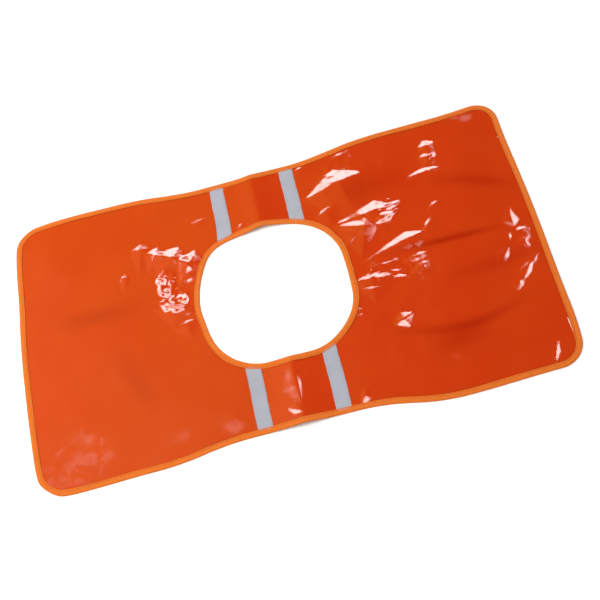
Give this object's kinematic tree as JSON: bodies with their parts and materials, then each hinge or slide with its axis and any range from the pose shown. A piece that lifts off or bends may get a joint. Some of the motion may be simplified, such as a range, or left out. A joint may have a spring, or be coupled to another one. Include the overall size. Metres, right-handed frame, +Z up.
{
  "type": "safety tabard",
  "caption": "Flat pull-over safety tabard of coated orange fabric with a bound head opening, a bound outer edge and reflective strips sewn across both shoulders.",
  "frame": {"origin": "on the surface the tabard lies on, midway between the two hems and on its lengthwise centre line", "axes": "+X towards the front hem, +Y towards the wearer's left shoulder, +Z up, out of the reflective side"},
  "size_m": [0.9, 0.52, 0.0108],
  "materials": {
    "coated_sheet": "glossy PVC-coated woven fabric, orange",
    "binding_tape": "woven polyester binding tape, light orange",
    "reflective_tape": "silver-grey retroreflective fabric tape",
    "strip_thread": "grey polyester sewing thread",
    "binding_thread": "orange polyester sewing thread"
  },
  "bodies": {
    "rear_half": {"rear_sheet": "coated_sheet", "rear_edge_binding": "binding_tape", "rear_neck_binding": "binding_tape", "rear_left_strip": "reflective_tape", "rear_right_strip": "reflective_tape", "rear_left_strip_stitching": "strip_thread", "rear_right_strip_stitching": "strip_thread", "rear_edge_seam": "binding_thread", "rear_neck_seam": "binding_thread"},
    "front_half": {"front_sheet": "coated_sheet", "front_edge_binding": "binding_tape", "front_neck_binding": "binding_tape", "front_left_strip": "reflective_tape", "front_right_strip": "reflective_tape", "front_left_strip_stitching": "strip_thread", "front_right_strip_stitching": "strip_thread", "front_edge_seam": "binding_thread", "front_neck_seam": "binding_thread"}
  },
  "joints": [
    {"name": "shoulder_fold", "type": "hinge", "parent": "rear_half", "child": "front_half", "pos_m": [-0.003, 0, 0.011], "axis": [0, -1, 0], "range_deg": [0, 175]}
  ]
}
